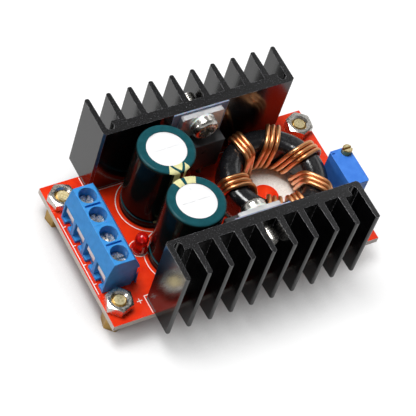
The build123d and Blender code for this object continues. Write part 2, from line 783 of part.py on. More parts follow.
pieces |= both_sides("heatsink", heatsink())
pieces |= both_sides("heatsink_pins", group(heatsink_pins()))
pieces |= both_sides("insulating_pad", pad())
pieces |= both_sides("insulating_bushing", bushing())
pieces |= both_sides("fixing_screw", screw())
for name, place in (("transistor", lambda s: s), ("diode", turned)):
    pieces[f"{name}_tab"] = place(package_tab())
    pieces[f"{name}_body"] = place(package_body())
    pieces[f"{name}_outer_leads"] = place(group(package_outer_leads()))

for name, side in (("back", 1), ("front", -1)):
    y = side * capacitor_y
    pieces[f"capacitor_can_{name}"] = capacitor_can(capacitor_x, y)
    pieces[f"capacitor_sleeve_{name}"] = capacitor_sleeve(capacitor_x, y)
    pieces[f"capacitor_seal_{name}"] = capacitor_seal(capacitor_x, y)
    pieces[f"capacitor_leads_{name}"] = group(capacitor_leads(capacitor_x, y))

pieces["choke_core"] = choke_core()
for number, strand in enumerate((-1, 0, 1), 1):
    pieces[f"choke_wire_{number}"] = choke_wire(strand)

pieces["terminal_housing_front"] = housing(-pole_pitch)
pieces["terminal_housing_back"] = housing(pole_pitch)
for number, (y, slot_angle) in enumerate(zip(poles, terminal_slot_angles), 1):
    pieces[f"clamp_body_{number}"] = clamp_body(y)
    pieces[f"wire_saddle_{number}"] = wire_saddle(y)
    pieces[f"terminal_screw_{number}"] = terminal_screw(y, slot_angle)

pieces["trimmer_body"] = trimmer_body()
pieces["trimmer_screw"] = trimmer_screw()
pieces["trimmer_pins"] = group(trimmer_pins())
pieces["lamp_lens"] = lamp_lens()
pieces["lamp_leads"] = group(lamp_leads())
pieces["control_chip"] = chip_body()
pieces["control_chip_leads"] = group(chip_leads())
pieces["shunt_resistor"] = under_board_box(shunt_x, shunt_y, 0, shunt_length, shunt_width, shunt_height)
pieces["small_chip_parts"] = group([under_board_box(x, y, angle, small_part_length, small_part_width,
                                                    small_part_height) for x, y, angle in small_part_places])

os.makedirs("parts", exist_ok=True)
for name, piece in pieces.items():
    export_step(piece, f"parts/{name}.step")
print(len(pieces), "nodes")
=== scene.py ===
# %% [markdown]
# A step-up converter module: a red circuit board on brass standoffs, with two black finned heatsinks,
# a choke wound with copper wire, two capacitors, a blue terminal block, a trimmer and a lamp.
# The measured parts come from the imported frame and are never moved. This lesson gives each of them
# its finish, and models the fine things round them: wire, print, threads and solder.

# %% Load the measured parts
import json
import math

import bmesh
import bpy
from mathutils import Matrix, Vector

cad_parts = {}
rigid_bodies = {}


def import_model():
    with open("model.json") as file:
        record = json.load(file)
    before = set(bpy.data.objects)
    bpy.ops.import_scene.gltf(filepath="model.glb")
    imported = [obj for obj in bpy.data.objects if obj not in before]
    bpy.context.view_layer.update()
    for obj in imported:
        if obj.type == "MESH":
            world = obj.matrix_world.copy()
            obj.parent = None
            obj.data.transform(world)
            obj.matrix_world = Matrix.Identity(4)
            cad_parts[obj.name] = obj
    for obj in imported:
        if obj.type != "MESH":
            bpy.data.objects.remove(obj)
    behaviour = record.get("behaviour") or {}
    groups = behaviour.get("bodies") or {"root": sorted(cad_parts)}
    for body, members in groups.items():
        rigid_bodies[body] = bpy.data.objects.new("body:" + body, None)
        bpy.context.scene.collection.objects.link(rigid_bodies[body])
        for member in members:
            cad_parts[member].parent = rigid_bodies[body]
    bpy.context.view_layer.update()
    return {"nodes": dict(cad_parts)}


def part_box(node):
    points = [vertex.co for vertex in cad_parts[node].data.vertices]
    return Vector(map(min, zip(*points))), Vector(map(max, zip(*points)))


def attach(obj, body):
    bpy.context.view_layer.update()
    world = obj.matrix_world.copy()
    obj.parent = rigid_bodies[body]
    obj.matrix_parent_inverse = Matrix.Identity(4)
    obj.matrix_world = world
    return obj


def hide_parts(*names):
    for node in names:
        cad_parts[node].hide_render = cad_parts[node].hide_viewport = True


for leftover in list(bpy.data.objects):
    bpy.data.objects.remove(leftover)
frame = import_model()
nodes = frame["nodes"]

# %% [markdown]
# Heights and places are read from the measured parts, so that a print or a solder joint always lies
# on the board, wherever the board is. Lengths are written in millimetres times MM, apart from those
# of the room round the module, which are in metres.

# %% Heights and places that the pieces share
MM = 0.001
board_low, board_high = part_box("board")
board_top = board_high.z
board_bottom = board_low.z
lead_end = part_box("trimmer_pins")[0].z
core_low, core_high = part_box("choke_core")
choke_x = (core_low.x + core_high.x) / 2
print("board from", round(board_bottom / MM, 2), "to", round(board_top / MM, 2), "mm above the floor")

# %% [markdown]
# Colours are written as sRGB hex values, as a paint chart gives them, and a shader works in linear
# light, so one function turns the first into the second. Another adds a node to a material: a plain
# value goes on the input itself, and a socket makes a link. The rest are the few patterns that real
# surfaces share: spots of a size, a colour or a shine that wanders, small dents, rounded edges.

# %% Colour and node helpers
# Noise wanders about its middle, and seldom leaves the range between these two values.
noise_low = 0.3
noise_high = 0.7
noise_roughness = 0.55
edge_samples = 6


def linear(hex_code):
    """An sRGB hex value as a linear colour with full alpha."""
    parts = [int(hex_code[i:i + 2], 16) / 255 for i in (1, 3, 5)]
    return (*[c / 12.92 if c <= 0.04045 else ((c + 0.055) / 1.055) ** 2.4 for c in parts], 1.0)


def add(tree, kind, inputs=None, **settings):
    """Adds a node with its settings, then sets or links its inputs."""
    node = tree.nodes.new("ShaderNode" + kind)
    for name, value in settings.items():
        setattr(node, name, value)
    for name, value in (inputs or {}).items():
        plug(tree, node.inputs[name], value)
    return node


def plug(tree, socket, value):
    """Sets a socket to a plain value, or links it from another socket."""
    if isinstance(value, bpy.types.NodeSocket):
        tree.links.new(value, socket)
    else:
        socket.default_value = value


def finish(name, **inputs):
    """A new material with a Principled shader; underscores in an input's name stand for spaces."""
    material = bpy.data.materials.new(name)
    material.use_nodes = True
    shader = material.node_tree.nodes["Principled BSDF"]
    for socket, value in inputs.items():
        shader.inputs[socket.replace("_", " ")].default_value = value
    return material, material.node_tree, shader


def figure(tree, operation, *values, **settings):
    """Arithmetic on one, two or three values, such as MULTIPLY or GREATER_THAN."""
    return add(tree, "Math", dict(enumerate(values)), operation=operation, **settings).outputs[0]


def blend(tree, factor, first, second):
    """The first value where the factor is 0, and the second where it is 1. Only the numbers of a Mix
    node's sockets tell values from colours: 0 is the factor, 2 and 3 take values, 6 and 7 colours."""
    return add(tree, "Mix", {0: factor, 2: first, 3: second}, data_type="FLOAT").outputs[0]


def blend_colours(tree, factor, first, second, **settings):
    """The first colour where the factor is 0, and the second where it is 1."""
    return add(tree, "Mix", {0: factor, 6: first, 7: second}, data_type="RGBA", **settings).outputs[2]


def upwards(tree):
    """How far a face looks up: 1 on top, 0 on an upright side, -1 underneath."""
    normal = add(tree, "TexCoord").outputs["Normal"]
    return add(tree, "SeparateXYZ", {"Vector": normal}).outputs["Z"]


def level_faces(tree, limit):
    """1 on faces that look up or down by more than the limit, 0 on the others."""
    return figure(tree, "GREATER_THAN", figure(tree, "ABSOLUTE", upwards(tree)), limit)


def soft_edges(tree, radius):
    """The direction of the faces with their edges rounded by that radius, for the light alone."""
    return add(tree, "Bevel", {"Radius": radius}, samples=edge_samples).outputs["Normal"]


def grain(tree, size, detail=3.0, stretch=(1, 1, 1)):
    """Noise whose spots are about that size on the real object, with an optional stretch."""
    place = add(tree, "TexCoord").outputs["Object"]
    place = add(tree, "Mapping", {"Vector": place, "Scale": stretch}).outputs["Vector"]
    return add(tree, "TexNoise", {"Vector": place, "Scale": 1 / size, "Detail": detail,
                                  "Roughness": noise_roughness}).outputs["Fac"]


def ramp(tree, factor, *stops):
    """A colour ramp from (position, hex colour) stops."""
    node = add(tree, "ValToRGB", {"Fac": factor})
    while len(node.color_ramp.elements) < len(stops):
        node.color_ramp.elements.new(0.5)
    for element, (position, hex_code) in zip(node.color_ramp.elements, stops):
        element.position = position
        element.color = linear(hex_code)
    return node.outputs["Color"]


def spread(tree, value, low, high, to_low, to_high):
    """A value moved from one range to another."""
    return add(tree, "MapRange", {"Value": value, "From Min": low, "From Max": high, "To Min": to_low,
                                  "To Max": to_high}).outputs["Result"]


def mottled(tree, shader, size, dark, light):
    """A base colour that wanders between two hex colours, in spots of about that size."""
    plug(tree, shader.inputs["Base Color"],
         ramp(tree, grain(tree, size), (noise_low, dark), (noise_high, light)))


def uneven_shine(tree, shader, pattern, smooth, rough):
    """A roughness that wanders between two values with a pattern."""
    plug(tree, shader.inputs["Roughness"], spread(tree, pattern, noise_low, noise_high, smooth, rough))


def relief(tree, shader, height, depth, normal=None):
    """Bump of that depth on the shader, from a height between 0 and 1."""
    inputs = {"Height": height, "Distance": depth, "Strength": 1.0}
    if normal is not None:
        inputs["Normal"] = normal
    plug(tree, shader.inputs["Normal"], add(tree, "Bump", inputs).outputs["Normal"])


def dress(material, slot, *names):
    """Gives CAD nodes this material. The slot is not used."""
    for name in names:
        nodes[name].material_slots[0].material = material
    print(material.name, "on", len(names), "parts")


# %% [markdown]
# The camera stands where the photograph was taken: high over the terminal end, looking down, with a
# long lens and the picture turned a little. Its place was found from the corners of the board.

# %% Camera
camera_place = (-184.4 * MM, -184.9 * MM, 357.7 * MM)
camera_azimuth = math.radians(-44.694)
camera_elevation = math.radians(53.248)
camera_roll = math.radians(20.766)
focal_length = 176.46
sensor_width = 36
nearest_seen = 10 * MM
farthest_seen = 20
camera = bpy.data.objects.new("camera", bpy.data.cameras.new("camera"))
bpy.context.scene.collection.objects.link(camera)
camera.data.lens = focal_length
camera.data.sensor_width = sensor_width
camera.data.clip_start = nearest_seen
camera.data.clip_end = farthest_seen
camera.matrix_world = (Matrix.Translation(camera_place) @ Matrix.Rotation(camera_azimuth, 4, "Z")
                       @ Matrix.Rotation(math.pi / 2 - camera_elevation, 4, "X")
                       @ Matrix.Rotation(camera_roll, 4, "Z"))
bpy.context.scene.camera = camera
bpy.context.scene.view_settings.view_transform = "Standard"
print("camera is", round(Vector(camera_place).length / MM), "mm from the middle of the board")

# %% [markdown]
# The module lies on a white sheet in a pale room. The sheet is a grey floor that throws little light
# back. What the camera sees of it gets light of its own, so that it comes out white, and reflections
# get half of that light, so that the black fins stay black down to the sheet. This light fades where
# the object is close above the sheet, so the soft shadow stays. The room is white behind the object,
# and in reflections it darkens upwards, as a room with white walls and a dark ceiling does: that
# gives metal its contrast.

# %% Floor and world
sheet_size = 6
sheet_in_mirrors = 0.5
shadow_reach = 22 * MM
shadow_samples = 12
covered, uncovered = 0.25, 0.80
light_where_covered, light_in_the_open = 0.05, 0.68
fill_light = 0.14
wall_light, ceiling_light = 0.90, 0.10
# How high a direction points: 0 is level, 1 is straight up, and from this value on all is ceiling.
ceiling_start = 0.60


def seen_directly(tree, in_mirrors):
    """1 where the camera or a see-through part looks, less in reflections, 0 for light that falls on
    things."""
    path = add(tree, "LightPath")
    seen = figure(tree, "MAXIMUM", path.outputs["Is Camera Ray"], path.outputs["Is Transmission Ray"])
    return figure(tree, "MULTIPLY_ADD", path.outputs["Is Glossy Ray"], in_mirrors, seen)


bpy.ops.mesh.primitive_grid_add(x_subdivisions=8, y_subdivisions=8, size=sheet_size)
floor = bpy.context.object
floor.name = "floor"
paper, tree, shader = finish("white_paper", Base_Color=linear("#A8A8A8"), Roughness=0.9,
                             Specular_IOR_Level=0.1, Emission_Color=(1, 1, 1, 1))
openness = add(tree, "AmbientOcclusion", {"Distance": shadow_reach}, samples=shadow_samples).outputs["AO"]
sheet_light = spread(tree, openness, covered, uncovered, light_where_covered, light_in_the_open)
plug(tree, shader.inputs["Emission Strength"],
     figure(tree, "MULTIPLY", seen_directly(tree, sheet_in_mirrors), sheet_light))
floor.data.materials.append(paper)

world = bpy.data.worlds.new("pale_room")
world.use_nodes = True
tree = world.node_tree
sky = tree.nodes["Background"]
height = add(tree, "SeparateXYZ", {"Vector": add(tree, "TexCoord").outputs["Object"]}).outputs["Z"]
path = add(tree, "LightPath")
mirror_light = spread(tree, height, 0, ceiling_start, wall_light, ceiling_light)
room_light = blend(tree, path.outputs["Is Glossy Ray"], fill_light, mirror_light)
plug(tree, sky.inputs["Strength"], blend(tree, path.outputs["Is Camera Ray"], room_light, 1.0))
sky.inputs["Color"].default_value = (1, 1, 1, 1)
bpy.context.scene.world = world

# %% [markdown]
# Three lamps light the object: a soft box almost overhead and a little to the back, which makes upward
# faces bright and lets the sides fall dark, a small one low on the left, which draws thin bright arcs
# on the shoulders of the capacitors, and a weak one on the right.

# %% Lamps
def lamp(name, place, size, power):
    """A square area lamp aimed at the middle of the board."""
    light = bpy.data.lights.new(name, "AREA")
    light.size = size
    light.energy = power
    holder = bpy.data.objects.new(name, light)
    bpy.context.scene.collection.objects.link(holder)
    holder.location = place
    holder.rotation_mode = "QUATERNION"
    holder.rotation_quaternion = Vector(place).to_track_quat("Z", "Y")


lamp("overhead_lamp", place=(-0.16, 0.22, 0.84), size=0.36, power=7.4)
lamp("left_lamp", place=(-0.78, 0.05, 0.34), size=0.14, power=1.1)
lamp("right_lamp", place=(0.60, 0.30, 0.55), size=0.30, power=0.5)

# %% [markdown]
# Board: glass-epoxy laminate under a red solder mask, which is a thin glossy lacquer over etched
# copper. The flat faces are red and slightly uneven, and the cut edges show the pale laminate.
# The face's own direction tells the two apart, so one material can serve the whole board.

# %% Board finish
mask_red = "#F03C16"
mask_shade = "#E02C0E"
laminate = "#E4D4C8"
board_finish, tree, shader = finish("solder_mask_on_laminate", IOR=1.5, Specular_IOR_Level=0.4)
red = ramp(tree, grain(tree, 3.0 * MM), (noise_low, mask_shade), (noise_high, mask_red))
plug(tree, shader.inputs["Base Color"], blend_colours(tree, level_faces(tree, 0.7), linear(laminate), red))
uneven_shine(tree, shader, grain(tree, 0.8 * MM), 0.10, 0.20)
relief(tree, shader, grain(tree, 0.9 * MM), 0.008 * MM)
dress(board_finish, "solder_mask_board", "board")

# %% [markdown]
# Standoffs and the trimmer's screw: turned brass. Turning leaves fine rings that show as a slightly
# uneven shine. A metal's colour is its base colour, and the roughness carries the marks. The upward
# faces are painted paler, a painted highlight, and the sides darker, painted shade.

# %% Brass
brass, tree, shader = finish("turned_brass", Metallic=1.0)
# Painted shade: the sides get the darker brass. Painted highlight: the upward faces get the paler brass.
shaded_side_brass = ramp(tree, grain(tree, 1.5 * MM), (noise_low, "#B9924C"), (noise_high, "#CDAA66"))
lit_top_brass = ramp(tree, grain(tree, 0.4 * MM), (0.35, "#CDB880"), (0.6, "#F0E2B4"))
lit_top = spread(tree, upwards(tree), 0.7, 0.9, 0, 1)
plug(tree, shader.inputs["Base Color"], blend_colours(tree, lit_top, shaded_side_brass, lit_top_brass))
rings = grain(tree, 0.25 * MM, stretch=(0.15, 0.15, 1))
uneven_shine(tree, shader, rings, 0.28, 0.46)
relief(tree, shader, rings, 0.004 * MM)
dress(brass, "brass", "standoff_front_left", "standoff_back_left", "standoff_front_right",
      "standoff_back_right", "trimmer_screw")

# %% [markdown]
# Nuts and screws: steel with bright nickel plating, which shines almost like chrome but is warmer.
# Barrel plating leaves small dents and a slight haze.

# %% Nickel plating
nickel, tree, shader = finish("nickel_plated_steel", Base_Color=linear("#D9D6CF"), Metallic=1.0)
uneven_shine(tree, shader, grain(tree, 0.6 * MM), 0.18, 0.34)
relief(tree, shader, grain(tree, 0.9 * MM, detail=1.0), 0.003 * MM)
dress(nickel, "nickel_steel", "corner_nuts", "fixing_screw_back", "fixing_screw_front",
      *[f"terminal_screw_{i}" for i in (1, 2, 3, 4)])

# %% [markdown]
# Heatsinks: extruded aluminium, anodised black. The oxide is a hard clear layer with black dye in it,
# so the faces are black with a glassy shine and fine lines along the extrusion. The bars were cut to
# length before anodising: the cut ends are rough and greyer, and every sharp edge has a light grey
# line, partly wear and partly a painted highlight.
# A bevel node tells where the edges are, and the face's direction tells the cut ends.

# %% Anodised aluminium
anodised, tree, shader = finish("black_anodised_aluminium", IOR=1.7)
cut = level_faces(tree, 0.8)
rounded = soft_edges(tree, 0.12 * MM)
true_face = add(tree, "NewGeometry").outputs["True Normal"]
closeness = add(tree, "VectorMath", {0: rounded, 1: true_face}, operation="DOT_PRODUCT").outputs["Value"]
edge_begins, edge_full = 0.995, 0.93
edge = spread(tree, closeness, edge_begins, edge_full, 0, 1)
# The light grey line along the edges is partly wear and partly a painted highlight.
least_wear_and_highlight = 0.1
patchy_wear_and_highlight = spread(tree, grain(tree, 0.7 * MM), 0.45, 0.6, least_wear_and_highlight, 1)
edge_wear_and_highlight = figure(tree, "MULTIPLY", edge, patchy_wear_and_highlight)
dye = ramp(tree, grain(tree, 6 * MM), (0.35, "#060607"), (0.65, "#0B0B0D"))
specks = ramp(tree, grain(tree, 0.22 * MM, detail=4.0),
              (0.42, "#050506"), (0.60, "#0B0B0D"), (0.70, "#5A5A5E"))
faces = blend_colours(tree, cut, dye, specks)
plug(tree, shader.inputs["Base Color"], blend_colours(tree, edge_wear_and_highlight, faces, linear("#8C8C90")))
lines = grain(tree, 0.12 * MM, stretch=(1, 1, 0.01))
face_shine = spread(tree, lines, noise_low, noise_high, 0.13, 0.22)
cut_shine = 0.26
plug(tree, shader.inputs["Roughness"], blend(tree, cut, face_shine, cut_shine))
relief(tree, shader, lines, 0.003 * MM, rounded)
dress(anodised, "black_anodised_aluminium", "heatsink_back", "heatsink_front")

# %% [markdown]
# Solder pins, saddles, clamps and lead ends: steel or copper dipped in tin. Tin is soft and bright
# with a frosted, slightly wavy skin.

# %% Tin
tin, tree, shader = finish("dipped_tin", Base_Color=linear("#E2E3E4"), Metallic=1.0)
uneven_shine(tree, shader, grain(tree, 0.9 * MM), 0.34, 0.50)
relief(tree, shader, grain(tree, 1.2 * MM, detail=2.0), 0.02 * MM)
dress(tin, "tinned_steel", "heatsink_pins_back", "heatsink_pins_front", "lamp_leads",
      *[f"clamp_body_{i}" for i in (1, 2, 3, 4)], *[f"wire_saddle_{i}" for i in (1, 2, 3, 4)])
dress(tin, "tinned_copper", "transistor_tab", "transistor_outer_leads", "diode_tab", "diode_outer_leads",
      "capacitor_leads_back", "capacitor_leads_front", "trimmer_pins", "control_chip_leads")

# %% [markdown]
# Insulating pads: silicone rubber filled with ceramic powder, soft, bluish grey and matt, with light
# coming through at the edges.

# %% Silicone pad
silicone, tree, shader = finish("filled_silicone", Subsurface_Weight=0.4, Subsurface_Scale=1.0 * MM, IOR=1.42)
mottled(tree, shader, 1.5 * MM, "#7F8AA6", "#A2ABC2")
uneven_shine(tree, shader, grain(tree, 0.3 * MM), 0.45, 0.65)
relief(tree, shader, grain(tree, 0.3 * MM), 0.01 * MM)
dress(silicone, "silicone_pad", "insulating_pad_back", "insulating_pad_front")

# %% [markdown]
# Bushings: moulded white nylon, slightly translucent.

# %% White nylon
nylon, tree, shader = finish("white_nylon", Subsurface_Weight=0.3, Subsurface_Scale=0.6 * MM, IOR=1.53)
mottled(tree, shader, 1.0 * MM, "#E2E2DD", "#F0F0EC")
uneven_shine(tree, shader, grain(tree, 0.4 * MM), 0.35, 0.5)
dress(nylon, "white_plastic", "insulating_bushing_back", "insulating_bushing_front")

# %% [markdown]
# Package bodies and the control chip: black epoxy moulded in a spark-eroded mould, which leaves an
# even fine grain. The grain, not the colour, is what the eye sees.

# %% Moulded epoxy
epoxy, tree, shader = finish("moulded_black_epoxy", IOR=1.55)
mottled(tree, shader, 0.15 * MM, "#222224", "#353538")
uneven_shine(tree, shader, grain(tree, 0.3 * MM), 0.45, 0.62)
relief(tree, shader, grain(tree, 0.15 * MM, detail=4.0), 0.02 * MM)
dress(epoxy, "black_moulding", "transistor_body", "diode_body", "control_chip")

# %% [markdown]
# Capacitor cans: drawn aluminium, degreased and satin. Only the disc inside the sleeve's opening shows.

# %% Aluminium can
can_metal, tree, shader = finish("satin_aluminium", Base_Color=linear("#F2F2F3"), Metallic=1.0)
uneven_shine(tree, shader, grain(tree, 0.5 * MM), 0.48, 0.6)
relief(tree, shader, grain(tree, 0.3 * MM), 0.006 * MM)
dress(can_metal, "aluminium_can", "capacitor_can_back", "capacitor_can_front")

# %% [markdown]
# Capacitor sleeves: a plastic tube shrunk on with hot air. The sides are painted almost black and the
# lap on top dark green: partly the film is stretched thin there, and partly the lighter top is painted
# light from above and the darker sides painted shade. A pale stripe runs down one side and over the lap,
# with a dark mark in it. The stripe is found by the angle round the can, which a radial gradient gives
# once the pattern is centred on the can, and each can stands with its stripe turned another way.

# %% Printed sleeves
def sleeve_finish(name, stripe_middle, stripe_width, mark_angle, mark_spread):
    """A sleeve with its stripe at that angle round the can, in degrees, and a dark mark in the stripe
    whose two strokes open towards the middle of the can by that many degrees a millimetre."""
    stripe_on_side = 0.56
    half_stroke = 4
    low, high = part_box(f"capacitor_sleeve_{name}")
    centre = (low + high) / 2
    rim = (high.x - low.x) / 2
    material, tree, shader = finish(f"printed_shrink_sleeve_{name}", IOR=1.5, Specular_IOR_Level=0.08)
    place = add(tree, "TexCoord").outputs["Object"]
    moved = add(tree, "VectorMath", {0: place, 1: (centre.x, centre.y, 0)}, operation="SUBTRACT").outputs[0]
    turned = add(tree, "VectorRotate", {"Vector": moved, "Axis": (0, 0, 1),
                                        "Angle": math.radians(-stripe_middle)},
                 rotation_type="AXIS_ANGLE").outputs[0]
    round_the_can = add(tree, "TexGradient", {"Vector": turned}, gradient_type="RADIAL").outputs["Fac"]
    angle = spread(tree, round_the_can, 0, 1, -180, 180)
    upward = upwards(tree)
    half_stripe = spread(tree, upward, 0.3, 0.6, stripe_width / 2 * stripe_on_side, stripe_width / 2)
    in_stripe = figure(tree, "LESS_THAN", figure(tree, "ABSOLUTE", angle), half_stripe)
    flat_place = add(tree, "VectorMath", {0: moved, 1: (1, 1, 0)}, operation="MULTIPLY").outputs[0]
    reach = add(tree, "VectorMath", {0: flat_place}, operation="LENGTH").outputs["Value"]
    opening = spread(tree, reach, rim, 0, 0, mark_spread * rim / MM)
    from_mark = figure(tree, "SUBTRACT", angle, mark_angle - stripe_middle)
    in_stroke = figure(tree, "COMPARE", figure(tree, "ABSOLUTE", from_mark), opening, half_stroke)
    bare = figure(tree, "SUBTRACT", in_stripe, in_stroke, use_clamp=True)
    # The lap is lighter and the sides darker by the face's direction: partly the thin film, partly painted
    # light and painted shade.
    thin_lap_and_painted_light = spread(tree, upward, 0.55, 0.9, 0, 1)
    film_and_painted_light = blend_colours(tree, thin_lap_and_painted_light, linear("#08110F"), linear("#1E545C"))
    printed = blend_colours(tree, bare, film_and_painted_light, linear("#ECE8AE"))
    cloud = ramp(tree, grain(tree, 1.2 * MM), (0.35, "#D8D8D8"), (0.65, "#FFFFFF"))
    cloud_share = 0.6
    plug(tree, shader.inputs["Base Color"],
         blend_colours(tree, cloud_share, printed, cloud, blend_type="MULTIPLY"))
    uneven_shine(tree, shader, grain(tree, 0.7 * MM), 0.12, 0.22)
    relief(tree, shader, grain(tree, 1.6 * MM, detail=2.0), 0.02 * MM)
    return material


back_sleeve = sleeve_finish("back", stripe_middle=-88, stripe_width=46, mark_angle=-85, mark_spread=9.4)
dress(back_sleeve, "green_sleeve", "capacitor_sleeve_back")
front_sleeve = sleeve_finish("front", stripe_middle=90, stripe_width=50, mark_angle=93, mark_spread=0)
dress(front_sleeve, "green_sleeve", "capacitor_sleeve_front")

# %% [markdown]
# Seals: black butyl rubber, matt and dusty.

# %% Rubber
rubber, tree, shader = finish("butyl_rubber", IOR=1.52)
mottled(tree, shader, 0.4 * MM, "#1B1B1B", "#2A2A2A")
uneven_shine(tree, shader, grain(tree, 0.3 * MM), 0.65, 0.8)
dress(rubber, "rubber_seal", "capacitor_seal_back", "capacitor_seal_front")

# %% [markdown]
# Choke core: pressed iron powder under a thick black epoxy coat. The coat is satin, with the soft
# unevenness of a powder coat that flowed and set.

# %% Core coating
coating, tree, shader = finish("black_epoxy_coat", IOR=1.6)
mottled(tree, shader, 2.0 * MM, "#0E0E10", "#18181B")
uneven_shine(tree, shader, grain(tree, 0.8 * MM), 0.18, 0.30)
relief(tree, shader, grain(tree, 0.8 * MM, detail=2.0), 0.04 * MM)
dress(coating, "coated_iron_powder", "choke_core")

# %% [markdown]
# Terminal housings: moulded blue nylon with a fine matt grain, and soft edges that a bevel node
# rounds for the light.

# %% Blue nylon
blue_nylon, tree, shader = finish("moulded_blue_nylon", IOR=1.53, Specular_IOR_Level=0.3,
                                  Subsurface_Weight=0.15, Subsurface_Scale=0.8 * MM)
mottled(tree, shader, 1.5 * MM, "#2F8CD6", "#3E9AE4")
uneven_shine(tree, shader, grain(tree, 0.4 * MM), 0.34, 0.48)
relief(tree, shader, grain(tree, 0.25 * MM), 0.012 * MM, soft_edges(tree, 0.2 * MM))
dress(blue_nylon, "blue_housing", "terminal_housing_front", "terminal_housing_back")

# %% [markdown]
# Trimmer case: moulded blue thermoset, a deeper blue than the terminals and a little glossier.

# %% Trimmer case
trimmer_blue, tree, shader = finish("moulded_blue_thermoset", IOR=1.55, Specular_IOR_Level=0.35)
mottled(tree, shader, 1.5 * MM, "#3478DC", "#4488E8")
uneven_shine(tree, shader, grain(tree, 0.5 * MM), 0.30, 0.42)
relief(tree, shader, grain(tree, 0.3 * MM), 0.01 * MM, soft_edges(tree, 0.15 * MM))
dress(trimmer_blue, "trimmer_blue", "trimmer_body")

# %% [markdown]
# Lamp lens: clear red epoxy with a little diffusing powder. Half of the light passes through it and
# comes out red, and half is scattered back.

# %% Red lens
lens, tree, shader = finish("clear_red_epoxy", IOR=1.54, Transmission_Weight=0.5,
                            Base_Color=linear("#F01A14"))
uneven_shine(tree, shader, grain(tree, 0.6 * MM), 0.06, 0.14)
dress(lens, "red_lens", "lamp_lens")

# %% [markdown]
# Resistor and small parts under the board: fired ceramic. The shunt is black, the others brown-grey.

# %% Ceramics
black_ceramic, tree, shader = finish("black_glazed_ceramic", IOR=1.6)
mottled(tree, shader, 0.5 * MM, "#161617", "#222224")
uneven_shine(tree, shader, grain(tree, 0.3 * MM), 0.3, 0.45)
dress(black_ceramic, "black_resistor", "shunt_resistor")
brown_ceramic, tree, shader = finish("fired_brown_ceramic", IOR=1.6)
mottled(tree, shader, 0.5 * MM, "#8A6C4E", "#9C7F60")
uneven_shine(tree, shader, grain(tree, 0.3 * MM), 0.4, 0.55)
dress(brown_ceramic, "chip_ceramic", "small_chip_parts")

# %% [markdown]
# Choke wires: three copper wires with clear enamel, laid side by side and pulled tight, seven turns
# through the ring. A curve with a round section is the natural way to draw a wire. Each turn follows
# the rounded section of the core, a wire radius and a small gap outside it, while the angle round the
# ring moves on, so that the wires slant across the top and the hole as they really do.

# %% Wound wires
core_outer = (core_high.x - core_low.x) / 2
core_inner = 7.0 * MM
core_corner = 1.9 * MM
wire_radius = 0.5 * MM
wire_gap_to_core = 0.12 * MM
spacing_outside = 1.18 * MM
spacing_inside = 1.20 * MM
spacing_under = 1.36 * MM
wire_outside = core_outer + wire_radius + wire_gap_to_core
wire_inside = core_inner - wire_radius - wire_gap_to_core
wire_over = core_high.z + wire_radius + wire_gap_to_core
wire_under = core_low.z - wire_radius - wire_gap_to_core
wire_corner = core_corner + wire_radius + wire_gap_to_core
# Degrees round the ring for each turn: bottom outside, top outside, top inside, bottom inside.
turns = [(-188, -182, -181, -146), (-127, -119, -123, -107), (-93, -86, -87, -62), (-50, -42, -33, 2),
         (12, 15, 17, 45), (59, 64, 70, 78), (96, 111, 122, 111)]


def around(radius, degrees, height):
    """A point round the choke's axis."""
    angle = math.radians(degrees)
    return Vector((choke_x + radius * math.cos(angle), radius * math.sin(angle), height))


def corner_points(previous, corner, following, steps=7):
    """A rounded corner between two straight runs, as points on a quadratic bend."""
    before = previous - corner
    after = following - corner
    start = corner + before.normalized() * min(wire_corner, before.length * 0.5)
    end = corner + after.normalized() * min(wire_corner, after.length * 0.5)
    bend = []
    for i in range(steps):
        t = i / (steps - 1)
        bend.append(start * (1 - t) ** 2 + corner * 2 * t * (1 - t) + end * t ** 2)
    return bend


def wire_corners(strand):
    """The corners of one wire's way: up outside, over, down the hole and out below."""
    outside = math.degrees(strand * spacing_outside / wire_outside)
    inside = math.degrees(strand * spacing_inside / wire_inside)
    below = math.degrees(strand * spacing_under / wire_inside)
    route = [around(wire_outside, turns[0][0] + outside, lead_end)]
    for bottom_outside, top_outside, top_inside, bottom_inside in turns:
        route.append(around(wire_outside, bottom_outside + outside, wire_under))
        route.append(around(wire_outside, top_outside + outside, wire_over))
        route.append(around(wire_inside, top_inside + inside, wire_over))
        route.append(around(wire_inside, bottom_inside + below, wire_under))
    route.append(around(wire_inside, turns[-1][3] + below, lead_end))
    return route


def wire_piece(number, strand):
    """One wire, drawn as a curve along its bends and turned into a mesh."""
    route = wire_corners(strand)
    path = [route[0]]
    for previous, corner, following in zip(route, route[1:], route[2:]):
        path += corner_points(previous, corner, following)
    path.append(route[-1])
    curve = bpy.data.curves.new(f"copper_wire_{number}", "CURVE")
    curve.dimensions = "3D"
    curve.bevel_depth = wire_radius
    curve.bevel_resolution = 5
    curve.use_fill_caps = True
    line = curve.splines.new("POLY")
    line.points.add(len(path) - 1)
    for point, place in zip(line.points, path):
        point.co = (*place, 1)
    piece = bpy.data.objects.new(f"copper_wire_{number}", curve)
    bpy.context.scene.collection.objects.link(piece)
    bpy.ops.object.select_all(action="DESELECT")
    piece.select_set(True)
    bpy.context.view_layer.objects.active = piece
    bpy.ops.object.convert(target="MESH")
    bpy.ops.object.shade_smooth()
    return bpy.context.object


copper, tree, shader = finish("enamelled_copper", Metallic=1.0, Coat_Weight=0.3, Coat_Roughness=0.2,
                              Coat_IOR=1.55)
mottled(tree, shader, 2.5 * MM, "#E8985E", "#FABA84")
uneven_shine(tree, shader, grain(tree, 0.5 * MM), 0.30, 0.42)
for number, strand in enumerate((-1, 0, 1), 1):
    wire = wire_piece(number, strand)
    wire.data.materials.append(copper)
    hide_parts(f"choke_wire_{number}")
    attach(wire, "module")
    print(wire.name, len(wire.data.polygons), "faces")

